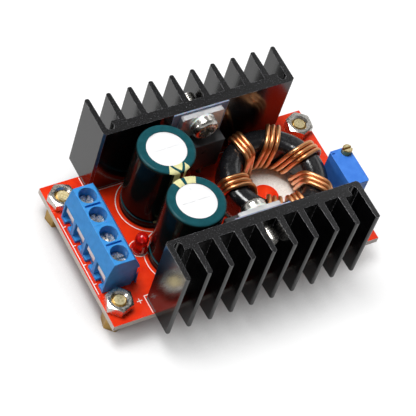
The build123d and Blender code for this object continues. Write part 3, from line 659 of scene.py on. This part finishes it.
# %% [markdown]
# Fine pieces are made the same way each time: a primitive is added with nothing else selected, shaped
# in edit mode, given its place, and then its place is written into its mesh, because every piece of
# the part keeps its object at the origin.

# %% Modelling helpers
def begin(name, operator, **settings):
    """Adds a primitive with nothing else selected."""
    bpy.ops.object.select_all(action="DESELECT")
    operator(**settings)
    piece = bpy.context.object
    piece.name = name
    return piece


def select_where(piece, kind, test):
    """In edit mode, selects the points or faces whose place passes the test."""
    bpy.ops.mesh.select_mode(type=kind)
    bpy.ops.mesh.select_all(action="DESELECT")
    mesh = bmesh.from_edit_mesh(piece.data)
    parts = mesh.verts if kind == "VERT" else mesh.faces
    for part in parts:
        part.select_set(test(part.co if kind == "VERT" else part.calc_center_median()))
    mesh.select_flush_mode()
    bmesh.update_edit_mesh(piece.data)


def thicken(thickness):
    """In edit mode, turns a flat shape into a thin plate and closes its sides."""
    bpy.ops.mesh.select_all(action="SELECT")
    bpy.ops.mesh.extrude_region_move(TRANSFORM_OT_translate={"value": (0, 0, thickness)})
    bpy.ops.mesh.select_all(action="SELECT")
    bpy.ops.mesh.normals_make_consistent(inside=False)


def fix_place(piece):
    """Writes the piece's place, turn and scale into its mesh."""
    bpy.ops.object.select_all(action="DESELECT")
    piece.select_set(True)
    bpy.context.view_layer.objects.active = piece
    bpy.ops.object.transform_apply(location=True, rotation=True, scale=True)


def strip(start, end, width, low, thickness):
    """A thin strip with rounded ends between two points (x, y), its lower face at that height."""
    end_rounding = 0.49 * width
    run = Vector(end) - Vector(start)
    middle = (Vector(start) + Vector(end)) / 2
    piece = begin("strip", bpy.ops.mesh.primitive_plane_add, size=1)
    piece.scale = (run.length + width, width, 1)
    fix_place(piece)
    bpy.ops.object.mode_set(mode="EDIT")
    bpy.ops.mesh.select_all(action="SELECT")
    bpy.ops.mesh.bevel(offset=end_rounding, segments=4, affect="VERTICES")
    thicken(thickness)
    bpy.ops.object.mode_set(mode="OBJECT")
    piece.rotation_euler.z = math.atan2(run.y, run.x)
    piece.location = (*middle, low)
    fix_place(piece)
    return piece


def printed_ring(x, y, outer, inner, low, thickness):
    """A thin flat ring."""
    piece = begin("ring", bpy.ops.mesh.primitive_circle_add, vertices=96, radius=outer, fill_type="NGON",
                  location=(x, y, low))
    bpy.ops.object.mode_set(mode="EDIT")
    bpy.ops.mesh.inset(thickness=outer - inner)
    bpy.ops.mesh.delete(type="FACE")
    thicken(thickness)
    bpy.ops.object.mode_set(mode="OBJECT")
    fix_place(piece)
    return piece


def cut_off(piece, point, direction):
    """Cuts off what lies beyond a plane, and closes the cut."""
    bpy.ops.object.select_all(action="DESELECT")
    bpy.context.view_layer.objects.active = piece
    bpy.ops.object.mode_set(mode="EDIT")
    bpy.ops.mesh.select_all(action="SELECT")
    bpy.ops.mesh.bisect(plane_co=point, plane_no=direction, clear_outer=True, use_fill=True)
    bpy.ops.object.mode_set(mode="OBJECT")


def joined(pieces, name, material):
    """Joins pieces to one, which rides on the module and has that finish."""
    bpy.ops.object.select_all(action="DESELECT")
    for piece in pieces:
        piece.select_set(True)
    whole = pieces[0]
    bpy.context.view_layer.objects.active = whole
    if len(pieces) > 1:
        bpy.ops.object.join()
    whole.name = name
    whole.data.materials.clear()
    whole.data.materials.append(material)
    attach(whole, "module")
    print(name, "from", len(pieces), "pieces,", len(whole.data.polygons), "faces")


# %% [markdown]
# Print on the board: white ink, screened on over the red mask. It outlines the heatsinks, the
# capacitors and the lamp, marks the poles of the terminal block, and fills a disc under the choke
# with a bare circle in its middle. The ink is far thinner than the 0.03 mm drawn here, which keeps it
# clear of the board's face. Shapes that cross differ by a tiny step in height, so that no two faces
# lie in the same plane.

# %% White print
ink_thickness = 0.03 * MM
layer_step = 0.0008 * MM
line_width = 0.18 * MM
outline_margin = 0.25 * MM
outline_share_of_depth = 0.76
# Outer and inner radius of each printed circle.
capacitor_ring = (7.25 * MM, 7.05 * MM)
lamp_ring = (2.1 * MM, 1.92 * MM)
choke_disc = (11.0 * MM, 3.0 * MM)
pole_line_to_housing = 0.75 * MM
pole_line_half = 10 * MM
tick_to_housing = 0.12 * MM
plus_x, plus_y, plus_arm = -24.7 * MM, -14.4 * MM, 0.55 * MM
ink, tree, shader = finish("white_screened_ink", IOR=1.5)
plug(tree, shader.inputs["Base Color"],
     ramp(tree, grain(tree, 0.25 * MM), (0.32, "#DCD6CC"), (0.6, "#F4F2EC")))
uneven_shine(tree, shader, grain(tree, 0.3 * MM), 0.5, 0.7)
relief(tree, shader, grain(tree, 0.2 * MM), 0.01 * MM)
prints = []


def ink_line(start, end):
    """A printed line, a step higher than the shape before it."""
    return strip(start, end, line_width, board_top, ink_thickness + len(prints) * layer_step)


def ink_ring(x, y, outer, inner):
    """A printed ring, a step higher than the shape before it."""
    return printed_ring(x, y, outer, inner, board_top, ink_thickness + len(prints) * layer_step)


for side, name in ((1, "back"), (-1, "front")):
    low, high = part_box(f"heatsink_{name}")
    inner_face = min(abs(low.y), abs(high.y)) - outline_margin
    outline_end = max(abs(low.y), abs(high.y)) * outline_share_of_depth
    for x in (low.x - outline_margin, high.x + outline_margin):
        prints.append(ink_line((x, side * inner_face), (x, side * outline_end)))
    prints.append(ink_line((low.x - outline_margin, side * inner_face),
                           (high.x + outline_margin, side * inner_face)))
    low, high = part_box(f"capacitor_sleeve_{name}")
    centre = (low + high) / 2
    circle = ink_ring(centre.x, centre.y, *capacitor_ring)
    cut_off(circle, (0, side * (inner_face - line_width), 0), (0, side, 0))
    prints.append(circle)
low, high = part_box("lamp_lens")
lamp_middle = (low + high) / 2
prints.append(ink_ring(lamp_middle.x, lamp_middle.y, *lamp_ring))
prints.append(ink_ring(choke_x, 0, *choke_disc))
low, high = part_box("terminal_housing_front")
pole_line = low.x - pole_line_to_housing
prints.append(ink_line((pole_line, -pole_line_half), (pole_line, pole_line_half)))
for i in (1, 2, 3, 4):
    screw_low, screw_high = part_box(f"terminal_screw_{i}")
    pole = (screw_low.y + screw_high.y) / 2
    prints.append(ink_line((pole_line, pole), (low.x - tick_to_housing, pole)))
prints.append(ink_line((plus_x - plus_arm, plus_y), (plus_x + plus_arm, plus_y)))
prints.append(ink_line((plus_x, plus_y - plus_arm), (plus_x, plus_y + plus_arm)))
joined(prints, "board_print", ink)

# %% [markdown]
# Copper under the mask on the lower face: broad tracks that join the terminals, the capacitors, the
# packages and the choke. The mask over copper is lighter than over bare laminate, and stands up by
# the copper's thickness, drawn here a little thicker than the real 0.07 mm to show.

# %% Tracks below
track_thickness = 0.08 * MM
track_low = board_bottom - track_thickness
masked_copper, tree, shader = finish("solder_mask_on_copper", IOR=1.5, Coat_Weight=0.15, Coat_Roughness=0.12)
mottled(tree, shader, 2.0 * MM, "#F2481F", "#FA5A2E")
uneven_shine(tree, shader, grain(tree, 0.6 * MM), 0.25, 0.38)
relief(tree, shader, grain(tree, 0.4 * MM), 0.008 * MM)
# Each track: its points in mm and its width in mm.
tracks = [([(-27, 7.5), (-20, 7.5), (-14.4, 6.9)], 3.6),
          ([(-27, 2.5), (-20, 0), (-9.4, 0)], 3.2),
          ([(-27, -2.5), (-20, 0)], 3.2),
          ([(-27, -7.5), (-20, -7.5), (-14.4, -6.9)], 3.6),
          ([(-9.4, 6.9), (-9.4, 0), (-9.4, -6.9)], 2.8),
          ([(-14.4, -6.9), (-14.4, -10.5), (-2.6, -10.5)], 2.4),
          ([(0, 10.9), (0, 8.2), (6.5, 8.2), (6.5, 0)], 2.4),
          ([(0, -10.9), (0, -9.2), (8.5, -9.2)], 2.2),
          ([(-2.5, 10.9), (-2.5, 5.6), (-4.0, 4.4)], 0.9),
          ([(0.1, 4.0), (0.1, 5.2), (4.2, 5.2)], 0.6),
          ([(29.5, -7.2), (25, -7.2), (22.4, -5)], 0.6),
          ([(29.5, -4.6), (24.6, -4.6)], 0.6),
          ([(29.5, -2.1), (27, 0), (9, 0)], 0.6)]
strips = []
for points, width in tracks:
    for start, end in zip(points, points[1:]):
        sunk = len(strips) * layer_step
        strips.append(strip([c * MM for c in start], [c * MM for c in end], width * MM,
                            track_low - sunk, track_thickness + sunk))
joined(strips, "copper_tracks", masked_copper)

# %% [markdown]
# Solder joints: each lead comes out below the board through a pad, and the solder climbs it in a
# hollow cone. One cone is modelled, waisted in two steps and smoothed, and copied to every lead. The
# leads' places are read from the measured parts, so no joint can miss its lead: the points near the
# leads' lower ends fall into groups, one for each lead.

# %% Solder
lead_tip = 0.4 * MM
lead_group_reach = 1.9 * MM
solder_margin = 0.6 * MM
solder_climb = 1.1 * MM
cone_top = 0.42
# Where the cone is waisted: the share of its height, and the share of its width that stays.
waists = ((0.3, 0.76), (0.62, 0.78))
solder, tree, shader = finish("tin_lead_solder", Base_Color=linear("#D4D6D8"), Metallic=1.0)
uneven_shine(tree, shader, grain(tree, 0.8 * MM), 0.18, 0.36)
relief(tree, shader, grain(tree, 0.9 * MM, detail=2.0), 0.03 * MM)


def lead_places(piece):
    """Middle and radius of each lead where it passes below the board."""
    groups = []
    for point in [v.co for v in piece.data.vertices if v.co.z < lead_end + lead_tip]:
        near = [g for g in groups if (g[0] - point).xy.length < lead_group_reach]
        if near:
            near[0].append(point)
        else:
            groups.append([point])
    places = []
    for group in groups:
        middle = sum(group, Vector()) / len(group)
        places.append((middle.x, middle.y, max((p - middle).xy.length for p in group)))
    return places


cone = begin("solder_joint", bpy.ops.mesh.primitive_cone_add, vertices=20, radius1=1, radius2=cone_top,
             depth=1, location=(0, 0, 0.5))
fix_place(cone)
bpy.ops.object.mode_set(mode="EDIT")
for level, waist in waists:
    bpy.ops.mesh.select_all(action="SELECT")
    bpy.ops.mesh.bisect(plane_co=(0, 0, level), plane_no=(0, 0, 1))
    select_where(cone, "VERT", lambda place: abs(place.z - level) < 0.01)
    bpy.ops.transform.resize(value=(waist, waist, 1), center_override=(0, 0, level))
bpy.ops.object.mode_set(mode="OBJECT")
smooth = cone.modifiers.new("smooth", "SUBSURF")
smooth.levels = smooth.render_levels = 1
bpy.ops.object.modifier_apply(modifier="smooth")
bpy.ops.object.shade_smooth()

soldered = ["transistor_tab", "transistor_outer_leads", "diode_tab", "diode_outer_leads",
            "capacitor_leads_back", "capacitor_leads_front", "trimmer_pins", "lamp_leads",
            "heatsink_pins_back", "heatsink_pins_front", *[f"clamp_body_{i}" for i in (1, 2, 3, 4)],
            *[f"choke_wire_{i}" for i in (1, 2, 3)]]
joints = []
for name in soldered:
    for x, y, lead_radius in lead_places(nodes[name]):
        joint = cone.copy()
        joint.data = cone.data.copy()
        bpy.context.scene.collection.objects.link(joint)
        pad = lead_radius + solder_margin
        joint.matrix_world = (Matrix.Translation((x, y, board_bottom)) @ Matrix.Rotation(math.pi, 4, "X")
                              @ Matrix.Diagonal((pad, pad, solder_climb, 1)))
        fix_place(joint)
        joints.append(joint)
bpy.data.objects.remove(cone)
joined(joints, "solder_joints", solder)

# %% [markdown]
# The small parts below have tinned ends, where solder runs up from the pad. One end is modelled as a
# block with its outer edge cut to a slope, and copied to both ends of each part.

# %% Tinned ends of the small parts
# Each small part: its place in mm and its turn in degrees. Each kind of end, in mm: how far out it
# lies, its width and its height.
small_parts = [(-8.6, 3.6, 0), (-8.6, 1.2, 0), (-8.6, -1.2, 0), (4.2, 3.2, 90), (6.4, 3.2, 90),
               (-3.6, -4.6, 0), (-0.6, -4.6, 0), (24.6, -3.2, 90), (22.4, -3.2, 90)]
shunt_x, shunt_y = 4.0, -6.2
small_end = (1.0, 1.35, 0.6)
shunt_end = (3.2, 3.3, 0.75)
end_length = 0.9
# On a block one unit long: where its slope starts at the outer face, and how far out it leans from
# there to the pad; and how far its edges are rounded.
slope_start = 0.1
slope_lean = 0.5
block_edge = 0.06
block = begin("tinned_end", bpy.ops.mesh.primitive_cube_add, size=1, location=(0, 0, -0.5))
fix_place(block)
bpy.ops.object.mode_set(mode="EDIT")
bpy.ops.mesh.select_all(action="SELECT")
bpy.ops.mesh.bisect(plane_co=(slope_start, 0, -1), plane_no=(1, 0, -slope_lean), clear_outer=True,
                    use_fill=True)
bpy.ops.mesh.select_all(action="SELECT")
bpy.ops.mesh.bevel(offset=block_edge, segments=2)
bpy.ops.object.mode_set(mode="OBJECT")
ends = []
ends_wanted = [(x, y, turn + half, *small_end) for x, y, turn in small_parts for half in (0, 180)]
ends_wanted += [(shunt_x, shunt_y, half, *shunt_end) for half in (0, 180)]
for x, y, turn, reach, width, tall in ends_wanted:
    end = block.copy()
    end.data = block.data.copy()
    bpy.context.scene.collection.objects.link(end)
    end.matrix_world = (Matrix.Translation((x * MM, y * MM, board_bottom))
                        @ Matrix.Rotation(math.radians(turn), 4, "Z") @ Matrix.Translation((reach * MM, 0, 0))
                        @ Matrix.Diagonal((end_length * MM, width * MM, tall * MM, 1)))
    fix_place(end)
    ends.append(end)
bpy.data.objects.remove(block)
joined(ends, "tinned_ends", solder)

# %% [markdown]
# Threads of the fixing screws, on the ends that stand out between the fins. A thread is a ridge that
# winds round the shank, which is what the Screw modifier makes of a small diamond section. Its pitch
# is that of the real screw, 0.5 mm.

# %% Threads
thread_pitch = 0.5 * MM
thread_turns = 6
thread_from_end = 0.9 * thread_pitch
ridge = 0.28 * MM
ridge_middle = 1.37 * MM
low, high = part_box("fixing_screw_back")
screw_height = (low.z + high.z) / 2
threads = []
for side in (0, 180):
    thread = begin("thread", bpy.ops.mesh.primitive_circle_add, vertices=4, radius=ridge, fill_type="NGON",
                   location=(ridge_middle, 0, 0), rotation=(math.pi / 2, 0, 0))
    fix_place(thread)
    winding = thread.modifiers.new("winding", "SCREW")
    winding.screw_offset = thread_pitch
    winding.iterations = thread_turns
    winding.steps = winding.render_steps = 24
    winding.use_smooth_shade = False
    bpy.ops.object.modifier_apply(modifier="winding")
    thread.rotation_euler.x = -math.pi / 2
    thread.location = (0, high.y - thread_turns * thread_pitch - thread_from_end, screw_height)
    fix_place(thread)
    thread.rotation_euler.z = math.radians(side)
    fix_place(thread)
    bpy.ops.object.mode_set(mode="EDIT")
    bpy.ops.mesh.select_all(action="SELECT")
    bpy.ops.mesh.normals_make_consistent(inside=False)
    bpy.ops.object.mode_set(mode="OBJECT")
    threads.append(thread)
joined(threads, "fixing_screw_threads", nickel)

# %% [markdown]
# Inside the lamp: one lead carries a small cup that holds the chip and throws its light up. Through
# the clear red resin it shows as a pale spot.

# %% Inside the lamp
cup_height = 0.8 * MM
cup_foot = 0.35 * MM
cup_mouth = 0.62 * MM
cup_rim = 0.1 * MM
cup_slope = 0.22 * MM
cup_depth = 0.35 * MM
cup_above_middle = 0.3 * MM
cup = begin("lamp_cup", bpy.ops.mesh.primitive_cone_add, vertices=24, radius1=cup_foot, radius2=cup_mouth,
            depth=cup_height, location=(lamp_middle.x, lamp_middle.y, lamp_middle.z + cup_above_middle))
bpy.ops.object.mode_set(mode="EDIT")
select_where(cup, "FACE", lambda place: place.z > 0.98 * cup_height / 2)
bpy.ops.mesh.inset(thickness=cup_rim)
bpy.ops.mesh.inset(thickness=cup_slope, depth=-cup_depth)
bpy.ops.object.mode_set(mode="OBJECT")
fix_place(cup)
joined([cup], "lamp_cup", tin)
